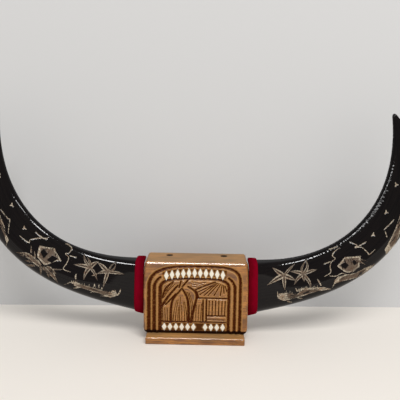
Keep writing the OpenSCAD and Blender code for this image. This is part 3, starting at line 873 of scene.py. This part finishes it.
# The width or size of what is cut, of what is left standing and of what is rubbed with brown, as shares of
# the drawn one, and the widths of the single cuts.
palm_share, vein_share, window_share = 0.86, 0.16, 1.25
palm_brown, frond_brown, ground_brown, hut_brown = 0.3, 0.42, 0.65, 0.8
blade_width = 1.8
hill_widths = [0.3, 1.0, 0.5, 1.1, 0.3]
grass_widths = [0.5, 0.15]
grass_lean, grass_tall, grass_steps = 1.5, 4, 5


def engraved_scene(side, seed):
    """What is cut away on one horn, what is left standing inside it, and what is rubbed with brown.
    Grass stands along the upper edge of the first ground."""
    draw = random.Random(seed)
    cut, standing, browned = [], [], []
    for heart, leaves in palms[side]:
        for middle, tip, width in leaves:
            cut.append(leaf([heart, middle, tip], width * palm_share))
            browned.append(leaf([heart, middle, tip], width * palm_brown))
            standing += vein([heart, middle, tip], width * vein_share)
    for shape in grounds[side] + [trees[side]]:
        cut.append(shape)
        browned.append(scaled(shape, ground_brown))
        standing += streaks(draw, shape, density=0.03, run=11, rise=0.8)
    for x, y in smooth_path(grounds[side][0][1:8], grass_steps):
        lean, tall = draw.uniform(-grass_lean, grass_lean), draw.uniform(0, grass_tall)
        cut += stroke([(x, y - 1), (x + lean, y + tall)], grass_widths, 2)
    for line in hills[side]:
        cut += stroke(line, hill_widths)
    for points, width in fronds[side]:
        cut.append(leaf(points, width))
        browned.append(leaf(points, width * frond_brown))
        standing += streaks(draw, leaf(points, width), density=0.06, run=5, rise=1.5)
    for points in blades[side]:
        cut.append(leaf(points, blade_width))
    cut.append(huts[side])
    browned.append(scaled(huts[side], hut_brown))
    standing += streaks(draw, huts[side], density=0.02, run=2, rise=7)
    standing += [scaled(shape, window_share) for shape in windows[side]]
    for x, y in birds[side]:
        cut += bird(x, y)
    return cut, standing, browned


# Polished buffalo horn: almost black with a faint brown and grey drift along its fibres, and a clear polish
# that shows thin bright lines on tight corners. Engraved cuts lay open dry cream horn, rubbed with brown.
polished_horn, horn = new_material("polished_buffalo_horn")
fibre_along, fibre_across = 60.0, 3.0
rub_along, rub_across = 9.0, 4.0
scratch_along, scratch_across = 0.55, 2.4
cut_begins, cut_full = 0.45, 0.75
horn_place = add(horn, "ShaderNodeAttribute", attribute_name="drawing_place").outputs["Vector"]
layers = []
for along, across in (
    (fibre_along, fibre_across), (rub_along, rub_across), (scratch_along, scratch_across)
):
    stretched = add(horn, "ShaderNodeMapping", {"Vector": horn_place, "Scale": (1 / along, 1 / across, 0)})
    layers.append(add(horn, "ShaderNodeTexNoise", {"Vector": stretched, "Scale": 1, "Detail": 3}))
fibres, rubbed, scratches = layers
black = add(horn, "ShaderNodeMix", {
    0: fibres, 6: linear("#070609"), 7: linear("#1a1614")}, data_type="RGBA").outputs[2]
brown_place = add(horn, "ShaderNodeAttribute", attribute_name="rubbed_brown").outputs["Fac"]
cream = linear("#cdc0aa")
for share, low, high, other in (
    (scratches, 0.4, 0.6, "#4e4033"), (rubbed, 0.5, 0.7, "#7f644d"), (brown_place, 0.1, 1.2, "#432e20")
):
    amount = add(horn, "ShaderNodeMapRange", {"Value": share, "From Min": low, "From Max": high})
    cream = add(horn, "ShaderNodeMix", {
        0: amount, 6: cream, 7: linear(other)}, data_type="RGBA").outputs[2]
engraved = add(horn, "ShaderNodeAttribute", attribute_name="engraved").outputs["Fac"]
spared = add(horn, "ShaderNodeAttribute", attribute_name="left_standing").outputs["Fac"]
open_cut = add(horn, "ShaderNodeMapRange", {
    "Value": engraved, "From Min": cut_begins, "From Max": cut_full})
skin_left = add(horn, "ShaderNodeMapRange", {
    "Value": spared, "From Min": cut_begins, "From Max": cut_full, "To Min": 1.0, "To Max": 0.0})
laid_open = add(horn, "ShaderNodeMath", {0: open_cut, 1: skin_left}, operation="MULTIPLY")
horn_colour = add(horn, "ShaderNodeMix", {0: laid_open, 6: black, 7: cream}, data_type="RGBA").outputs[2]
horn_shine = add(horn, "ShaderNodeMapRange", {"Value": laid_open, "To Min": 0.08, "To Max": 0.6})
horn_bump = add(horn, "ShaderNodeBump", {"Strength": 0.12, "Distance": 0.3 * mm, "Height": fibres})
horn_surface = add(horn, "ShaderNodeBsdfPrincipled", {
    "Base Color": horn_colour, "Roughness": horn_shine, "IOR": 1.54, "Specular IOR Level": 0.17,
    "Normal": horn_bump})
add(horn, "ShaderNodeOutputMaterial", {"Surface": horn_surface})

horn_sides = 156
front_crowding = 0.5
fine_step = 0.62
fine_end = 325
tip_rings = 72
hollow_rings = 14
hollow_end = 0.97
notch_spacing = 5.5
notch_stray = 0.4
notch_width = 1.3
notch_range = {"left": (150, 330), "right": (58, 395)}
notch_depth_range = {"left": (0.0, 0.1), "right": (0.06, 0.32)}
engraving_depth = 0.5
horn_seed = {"left": 5, "right": 11}

outer_along = np.concatenate([
    np.arange(0, fine_end, fine_step),
    fine_end + (horn_length - fine_end) * np.sin(np.linspace(0, math.pi / 2, tip_rings)),
])
hollow_t = np.linspace(hollow_share * hollow_end, 0, hollow_rings)
hollow_size = (1 - root_wall_share) * (1 - (hollow_t / hollow_share) ** 3)
horn_t = np.concatenate([hollow_t[:1], hollow_t, outer_along / horn_length])
horn_size = np.concatenate([[0], hollow_size, np.ones(len(outer_along))])
horn_along = np.concatenate([np.full(hollow_rings + 1, -far_away), outer_along])
for side in ("left", "right"):
    draw = random.Random(horn_seed[side])
    notch = np.zeros(len(horn_t))
    middle = notch_range[side][0]
    while middle < notch_range[side][1]:
        depth = draw.uniform(*notch_depth_range[side])
        notch = np.maximum(notch, depth * np.exp(-((horn_along - middle) / notch_width) ** 2))
        middle += notch_spacing * draw.uniform(1 - notch_stray, 1 + notch_stray)
    piece = horn_guide(f"{side}_horn_engraved", side, horn_t, horn_size, 0, horn_along, notch)
    use_tree(piece, skin, {
        "Sides": horn_sides, "Crowding": front_crowding, "Lap": 0.0, "Material": polished_horn})
    settle(piece)
    turn_out(piece)
    normals = np.empty(len(piece.data.vertices) * 3, np.float32)
    piece.data.vertex_normals.foreach_get("vector", normals)
    keep_vectors(piece, "inward", -normals)
    cut, standing, browned = engraved_scene(side, horn_seed[side])
    carve_drawings(piece, polished_horn, [
        (cut, engraving_depth, 0.5, 1.0, False, "engraved"),
        (standing, engraving_depth, 0.4, 1.0, True, "left_standing"),
        (browned, 0.0, 1.2, 1.0, False, "rubbed_brown"),
    ])
    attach(piece, "root")
    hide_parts(f"{side}_horn")


# Horn nails: four plain nails of drawn steel wire in each horn, driven through its rim into the core.
# The collar hides them.

for side in ("left", "right"):
    dress_node(f"{side}_horn_nails", wire_steel)


# Collars: a strip of cotton wadding round each joint, and over it a strip of dark red velvet with its edges
# folded under. The strip's ends are glued over one another at the back.

collar_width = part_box("right_collar_velvet")[1].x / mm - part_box("right_collar_velvet")[0].x / mm
collar_crown = 2.5
collar_lift = 0.35
collar_lap = 0.7
collar_edge = 2.6
collar_sides = 160
velvet_thickness = 0.8
fold_play, crown_play, block_gap = 0.15, 0.2, 0.05
wadding_inset = velvet_thickness + fold_play
wadding_crown = collar_crown - velvet_thickness - crown_play

# Cotton wadding: off-white matted fibres, with no shine.
cotton_wadding, cotton = new_material("cotton_wadding")
tuft = 1.5 * mm
cotton_place = add(cotton, "ShaderNodeTexCoord").outputs["Object"]
tufts = add(cotton, "ShaderNodeTexNoise", {"Vector": cotton_place, "Scale": 1 / tuft, "Detail": 4})
cotton_tone = add(cotton, "ShaderNodeMix", {
    0: tufts, 6: linear("#cfc8b8"), 7: linear("#e9e4d8")}, data_type="RGBA")
cotton_bump = add(cotton, "ShaderNodeBump", {"Strength": 0.6, "Distance": 0.4 * mm, "Height": tufts})
cotton_surface = add(cotton, "ShaderNodeBsdfPrincipled", {
    "Base Color": cotton_tone.outputs[2], "Roughness": 0.95, "Normal": cotton_bump})
add(cotton, "ShaderNodeOutputMaterial", {"Surface": cotton_surface})

# Dark red velvet: a short dense pile that drinks the light face on and shines softly at its edges. It is
# painted darker near the block as painted shade, broken into patches where the pile was brushed the other
# way. The pile is drawn coarser than it is.
red_velvet, velvet = new_material("red_velvet")
pile = 0.7 * mm
brushed_patch = 14 * mm
patch_sway, shade_fade_start, shade_fade_end = 8.0, 7.0, 14.0
velvet_place = add(velvet, "ShaderNodeTexCoord").outputs["Object"]
tips = add(velvet, "ShaderNodeTexNoise", {"Vector": velvet_place, "Scale": 1 / pile, "Detail": 2})
brushed = add(velvet, "ShaderNodeTexNoise", {
    "Vector": velvet_place, "Scale": 1 / brushed_patch, "Detail": 1})
on_strip = add(velvet, "ShaderNodeAttribute", attribute_name="drawing_place").outputs["Vector"]
from_block = add(velvet, "ShaderNodeSeparateXYZ", {"Vector": on_strip}).outputs["X"]
wavy = add(velvet, "ShaderNodeMath", {0: brushed, 1: patch_sway, 2: from_block}, operation="MULTIPLY_ADD")
# Painted shade: the velvet turns darker within about 7 to 14 mm of the block, with brushed patches mixed
# in.
pile_lay_and_shade = add(velvet, "ShaderNodeMapRange", {
    "Value": wavy, "From Min": shade_fade_start, "From Max": shade_fade_end}, interpolation_type="SMOOTHSTEP")
velvet_tone = add(velvet, "ShaderNodeMix", {
    0: pile_lay_and_shade, 6: linear("#5c0811"), 7: linear("#870820")}, data_type="RGBA")
velvet_fleck = add(velvet, "ShaderNodeMix", {
    0: tips, 6: linear("#5c0010"), 7: velvet_tone.outputs[2]}, data_type="RGBA")
velvet_bump = add(velvet, "ShaderNodeBump", {"Strength": 0.5, "Distance": 0.3 * mm, "Height": tips})
velvet_surface = add(velvet, "ShaderNodeBsdfPrincipled", {
    "Base Color": velvet_fleck.outputs[2], "Roughness": 0.9, "Normal": velvet_bump,
    "Specular IOR Level": 0.0, "Sheen Weight": 0.1, "Sheen Roughness": 0.5,
    "Sheen Tint": linear("#c8102c")})
add(velvet, "ShaderNodeOutputMaterial", {"Surface": velvet_surface})


crown_points, under_points = 22, 6


def collar_profile(width, crown):
    """A closed band with a rounded back, as places along the horn and heights above it."""
    across = np.sin(np.linspace(-math.pi / 2, math.pi / 2, crown_points))
    rise = (crown - collar_lift) * (1 - np.abs(across) ** (width / collar_edge)) ** 0.5
    top = np.c_[(1 + across) * width / 2, collar_lift + rise]
    under_along = np.linspace(width, 0, under_points + 2)[1:-1]
    under = np.c_[under_along, np.full(under_points, collar_lift)]
    return np.vstack([top, under, top[:1]])


for side in ("left", "right"):
    for label, material, inset, crown, lap, fill, slot in (
        ("collar_wadding", cotton_wadding, wadding_inset, wadding_crown, 0.0, 0.6, "padding"),
        ("collar_velvet_band", red_velvet, 0.0, collar_crown, collar_lap, 0.85, "velvet"),
    ):
        along, height = collar_profile(collar_width - 2 * inset, crown).T
        along = along + inset + block_gap
        ones = np.ones(len(along))
        piece = horn_guide(f"{side}_{label}", side, along / horn_length, ones, height, along, 0 * ones)
        use_tree(piece, skin, {
            "Sides": collar_sides, "Crowding": 0.0, "Lap": lap * mm, "Material": material})
        settle(piece)
        turn_out(piece)
        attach(piece, "root")
        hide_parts(f"{side}_collar_{slot}")


# Table, wall and lights: a pale table against a pale wall, under a long lamp on the ceiling. The wall shows
# from the front only and lets light through, so that the object can be looked at from behind.

wall_y = 129.5
wall_turn = math.radians(2.1)
stage_reach = 4000
table_z, wall_foot = -0.2, -1
paint_patch = 60 * mm
roughness_drift = 0.1


def stage_plane(name, corners, colour_hex, roughness):
    """A flat piece of the stage in one pale, slightly uneven paint, seen from its front only."""
    material, tree = new_material(name)
    place = add(tree, "ShaderNodeTexCoord").outputs["Object"]
    blotch = add(tree, "ShaderNodeTexNoise", {"Vector": place, "Scale": 1 / paint_patch})
    shade = add(tree, "ShaderNodeMapRange", {
        "Value": blotch, "To Min": roughness, "To Max": roughness + roughness_drift})
    surface = add(tree, "ShaderNodeBsdfPrincipled", {
        "Base Color": linear(colour_hex), "Roughness": shade, "Specular IOR Level": 0.2})
    clear = add(tree, "ShaderNodeBsdfTransparent")
    one_sided = add(tree, "ShaderNodeMixShader", {
        0: add(tree, "ShaderNodeNewGeometry").outputs["Backfacing"], 1: surface, 2: clear})
    add(tree, "ShaderNodeOutputMaterial", {"Surface": one_sided})
    plane = mesh_piece(name, np.array(corners) * mm, [(0, 1, 2, 3)])
    plane.data.materials.append(material)
    return plane


stage_plane("table", [
    (-stage_reach, -stage_reach, table_z), (stage_reach, -stage_reach, table_z),
    (stage_reach, stage_reach, table_z), (-stage_reach, stage_reach, table_z)], "#f6efe6", 0.6)
wall_drift = stage_reach * math.tan(wall_turn)
wall_left, wall_right = wall_y - wall_drift, wall_y + wall_drift
wall = stage_plane("wall", [
    (-stage_reach, wall_left, wall_foot), (stage_reach, wall_right, wall_foot),
    (stage_reach, wall_right, stage_reach), (-stage_reach, wall_left, stage_reach)], "#cbcbcb", 0.8)
wall.visible_shadow = False
wall.visible_diffuse = False
wall.visible_glossy = False

# The room is pale to the eye and lights the object evenly, but polished horn mirrors its dark corners.
world = bpy.data.worlds.new("pale_room")
world.use_nodes = True
world.node_tree.nodes.clear()
scene.world = world
room_light, room_seen, room_mirrored = 0.54, 0.85, 0.2
ray = add(world.node_tree, "ShaderNodeLightPath").outputs
level = add(world.node_tree, "ShaderNodeMath", {
    0: ray["Is Camera Ray"], 1: room_seen - room_light, 2: room_light}, operation="MULTIPLY_ADD")
level = add(world.node_tree, "ShaderNodeMath", {
    0: ray["Is Glossy Ray"], 1: room_mirrored - room_light, 2: level}, operation="MULTIPLY_ADD")
room = add(world.node_tree, "ShaderNodeBackground", {"Color": linear("#f2f3f4"), "Strength": level})
add(world.node_tree, "ShaderNodeOutputWorld", {"Surface": room})


def softbox(name, place, aim, size, watts):
    """A rectangular lamp at a place in metres, turned to what it lights."""
    lamp = bpy.data.lights.new(name, "AREA")
    lamp.shape, lamp.size, lamp.size_y, lamp.energy = "RECTANGLE", size[0], size[1], watts
    holder = bpy.data.objects.new(name, lamp)
    holder.location = place
    holder.rotation_euler = (Vector(aim) - Vector(place)).to_track_quat("-Z", "Y").to_euler()
    scene.collection.objects.link(holder)
    return holder


def shine_on(lamp, names):
    """Keeps a lamp to the shine on some pieces."""
    lit = bpy.data.collections.new(lamp.name)
    for name in names:
        lit.objects.link(bpy.data.objects[name])
    lamp.light_linking.receiver_collection = lit
    lamp.visible_diffuse = False


ceiling = softbox("ceiling_light", (0.8, -2.5, 3.3), (0, 0, 0.1), (2.8, 1.4), 115)
ceiling.visible_glossy = False
window = softbox("window_light", (1.6, -3.5, 0.4), (0, 0, 0.15), (2.6, 0.8), 8)
window.visible_glossy = False

# Short tubes in a row in front of each horn draw thin broken lines of light along it. Each is its place
# sideways, its width and its strength, and lights only the shine of its horn.
tube_y, tube_z, tube_depth = -1.25, 1.6, 0.3
tube_light = 60
tubes = {
    "left": ((-0.48, 0.54, 1.1), (0.54, 0.26, 0.8), (1.21, 0.26, 0.5)),
    "right": ((0.22, 0.4, 0.9), (-0.68, 0.5, 0.5), (-1.78, 1.7, 0.2), (-3.7, 1.2, 0.5)),
}
for side, row_of_tubes in tubes.items():
    for x, width, strength in row_of_tubes:
        watts = tube_light * width * strength
        tube = softbox(f"{side}_tube", (x, tube_y, tube_z), (0, 0, 0.2), (width, tube_depth), watts)
        shine_on(tube, [f"{side}_horn_engraved"])

# A narrow lamp close above the block lights only the shine on the edges of the wood.
desk_lamp = softbox("desk_lamp", (-0.03, -0.35, 0.56), (-0.02, -0.03, 0.155), (0.26, 0.2), 0.7)
desk_lamp.data.spread = math.radians(24)
desk_lamp.visible_camera = False
shine_on(desk_lamp, ["block_carved", "foot"])

# Camera: a little above the horns, looking slightly down and turned by under a degree.
camera_place = Vector((12.1, -892.6, 355.0)) * mm
pitch, roll, yaw = math.radians(9.15), math.radians(0.93), math.radians(-0.54)
picture_width = 400
focal_length = 600
ahead = Vector((math.sin(yaw) * math.cos(pitch), math.cos(yaw) * math.cos(pitch), -math.sin(pitch)))
sideways = Vector((math.cos(yaw), -math.sin(yaw), 0))
upright = sideways.cross(ahead)
turned_sideways = sideways * math.cos(roll) + upright * math.sin(roll)
turned_upright = upright * math.cos(roll) - sideways * math.sin(roll)
camera = bpy.data.objects.new("camera", bpy.data.cameras.new("camera"))
camera.data.sensor_width = 36
camera.data.lens = focal_length / picture_width * camera.data.sensor_width
camera.matrix_world = Matrix.Translation(camera_place) @ Matrix(
    (turned_sideways, turned_upright, -ahead)).transposed().to_4x4()
scene.collection.objects.link(camera)
scene.camera = camera
scene.view_settings.view_transform = "Standard"
